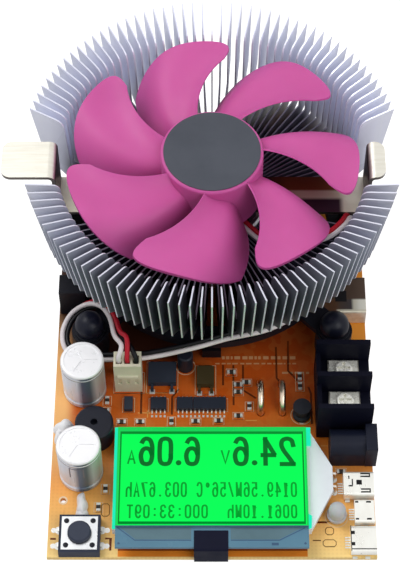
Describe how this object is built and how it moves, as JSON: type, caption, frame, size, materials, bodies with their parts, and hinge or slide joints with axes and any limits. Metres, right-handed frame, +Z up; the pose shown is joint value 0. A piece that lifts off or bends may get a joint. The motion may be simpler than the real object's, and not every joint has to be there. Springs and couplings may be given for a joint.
{
  "type": "battery capacity tester",
  "caption": "Bench battery discharger: orange board with lit display, screw terminals, sockets and a round finned heat sink with a fan in its bowl.",
  "frame": {"origin": "under the middle of the outline, at the height of the retention pins' ends", "axes": "+Z up, +Y from the display towards the heat sink, +X to the side with the sockets"},
  "size_m": [0.1188, 0.1672, 0.0578],
  "materials": {
    "board_laminate": "orange solder mask, semi-gloss",
    "cast_aluminium": "turned",
    "fin_sheet": "bright rolled sheet",
    "black_nylon": "satin black moulding",
    "pin_plastic": "satin blue-black moulding",
    "plated_spring_steel": "nickel plated",
    "bronze": "sintered",
    "lamination_steel": "stacked sheet",
    "enamelled_copper": "enamelled",
    "green_laminate": "solder mask",
    "pink_plastic": "satin pink moulding",
    "ferrite": "matt dark ferrite",
    "ground_steel": "ground",
    "grey_label": "blank paper label",
    "white_insulation": "soft PVC",
    "red_insulation": "soft PVC",
    "black_insulation": "soft PVC",
    "ivory_plastic": "natural nylon",
    "tinned_brass": "tin plated",
    "moulded_epoxy": "moulded package",
    "grey_silicone": "thermal pad",
    "bare_can": "drawn can",
    "black_rubber": "seal",
    "tinned_wire": "tinned",
    "black_gloss_plastic": "semi-gloss black",
    "plated_sheet": "nickel plated sheet",
    "terminal_plastic": "blue-black moulding",
    "screw_plate": "nickel plated",
    "jack_plastic": "black moulding",
    "backlight_plastic": "lit diffuser, grey-white tail",
    "display_glass": "glass",
    "lit_display": "green lit display",
    "black_film": "flexible film",
    "shunt_alloy": "bright resistance alloy",
    "chip_ceramic": "chip parts",
    "frosted_lens": "frosted lens",
    "sleeve_plastic": "shrunk sleeve"
  },
  "bodies": {
    "root": {"circuit_board": "board_laminate", "heatsink_core": "cast_aluminium", "lower_fins": "fin_sheet", "upper_fins": "fin_sheet", "mounting_frame": "black_nylon", "retention_sleeves": "black_nylon", "retention_pins": "pin_plastic", "clip_strap": "plated_spring_steel", "fan_base": "black_nylon", "fan_bearing": "bronze", "fan_stator": "lamination_steel", "stator_windings": "enamelled_copper", "fan_motor_board": "green_laminate", "fan_wire_white": "white_insulation", "fan_wire_red": "red_insulation", "fan_wire_black": "black_insulation", "fan_header": "ivory_plastic", "fan_header_pins": "tinned_brass", "fan_plug": "ivory_plastic", "power_mosfets": "moulded_epoxy", "thermal_pad": "grey_silicone", "capacitor_cans": "bare_can", "capacitor_seals": "black_rubber", "component_leads": "tinned_wire", "buzzer_case": "black_gloss_plastic", "switch_base": "black_nylon", "switch_cover": "plated_sheet", "switch_dome": "plated_sheet", "switch_pins": "plated_sheet", "terminal_block": "terminal_plastic", "terminal_plates": "tinned_brass", "dc_jack_housing": "jack_plastic", "dc_jack_contacts": "tinned_brass", "usb_a_shell": "plated_sheet", "usb_mini_shell": "plated_sheet", "usb_micro_shell": "plated_sheet", "usb_c_shell": "plated_sheet", "usb_tongues": "black_nylon", "lcd_backlight": "backlight_plastic", "lcd_glass": "display_glass", "lcd_polariser": "lit_display", "lcd_flex": "black_film", "current_shunts": "shunt_alloy", "power_transistors": "moulded_epoxy", "ic_bodies": "moulded_epoxy", "ic_pins": "tinned_wire", "chip_parts": "chip_ceramic", "edge_relay": "black_nylon", "status_led": "frosted_lens", "filter_choke": "ferrite", "small_capacitor": "sleeve_plastic"},
    "fan": {"fan_rotor": "pink_plastic", "fan_magnet": "ferrite", "fan_shaft": "ground_steel", "hub_label": "grey_label"},
    "button": {"switch_button": "black_gloss_plastic"},
    "washer_1": {"clamp_washer_1": "screw_plate"},
    "screw_1": {"terminal_screw_1": "screw_plate"},
    "washer_2": {"clamp_washer_2": "screw_plate"},
    "screw_2": {"terminal_screw_2": "screw_plate"}
  },
  "joints": [
    {"name": "fan_spin", "type": "hinge", "parent": "root", "child": "fan", "pos_m": [0.00413, 0.0266, 0.0448], "axis": [0, 0, 1], "continuous": true},
    {"name": "button_press", "type": "slide", "parent": "root", "child": "button", "axis": [0, 0, -1], "range_m": [0, 0.0003], "stiffness_N_per_m": 600, "springref_m": -0.001},
    {"name": "washer_1_lift", "type": "slide", "parent": "root", "child": "washer_1", "axis": [0, 0, 1], "range_m": [0, 0.003]},
    {"name": "screw_1_turn", "type": "hinge", "parent": "washer_1", "child": "screw_1", "pos_m": [0.04388, -0.0371, 0.0148], "axis": [0, 0, 1], "range_deg": [0, 2161]},
    {"name": "washer_2_lift", "type": "slide", "parent": "root", "child": "washer_2", "axis": [0, 0, 1], "range_m": [0, 0.003]},
    {"name": "screw_2_turn", "type": "hinge", "parent": "washer_2", "child": "screw_2", "pos_m": [0.04388, -0.0261, 0.0148], "axis": [0, 0, 1], "range_deg": [0, 2161]}
  ],
  "couplings": [
    {"joint": "screw_1_turn", "follows": "washer_1_lift", "rad_per_m": 12566},
    {"joint": "screw_2_turn", "follows": "washer_2_lift", "rad_per_m": 12566}
  ]
}
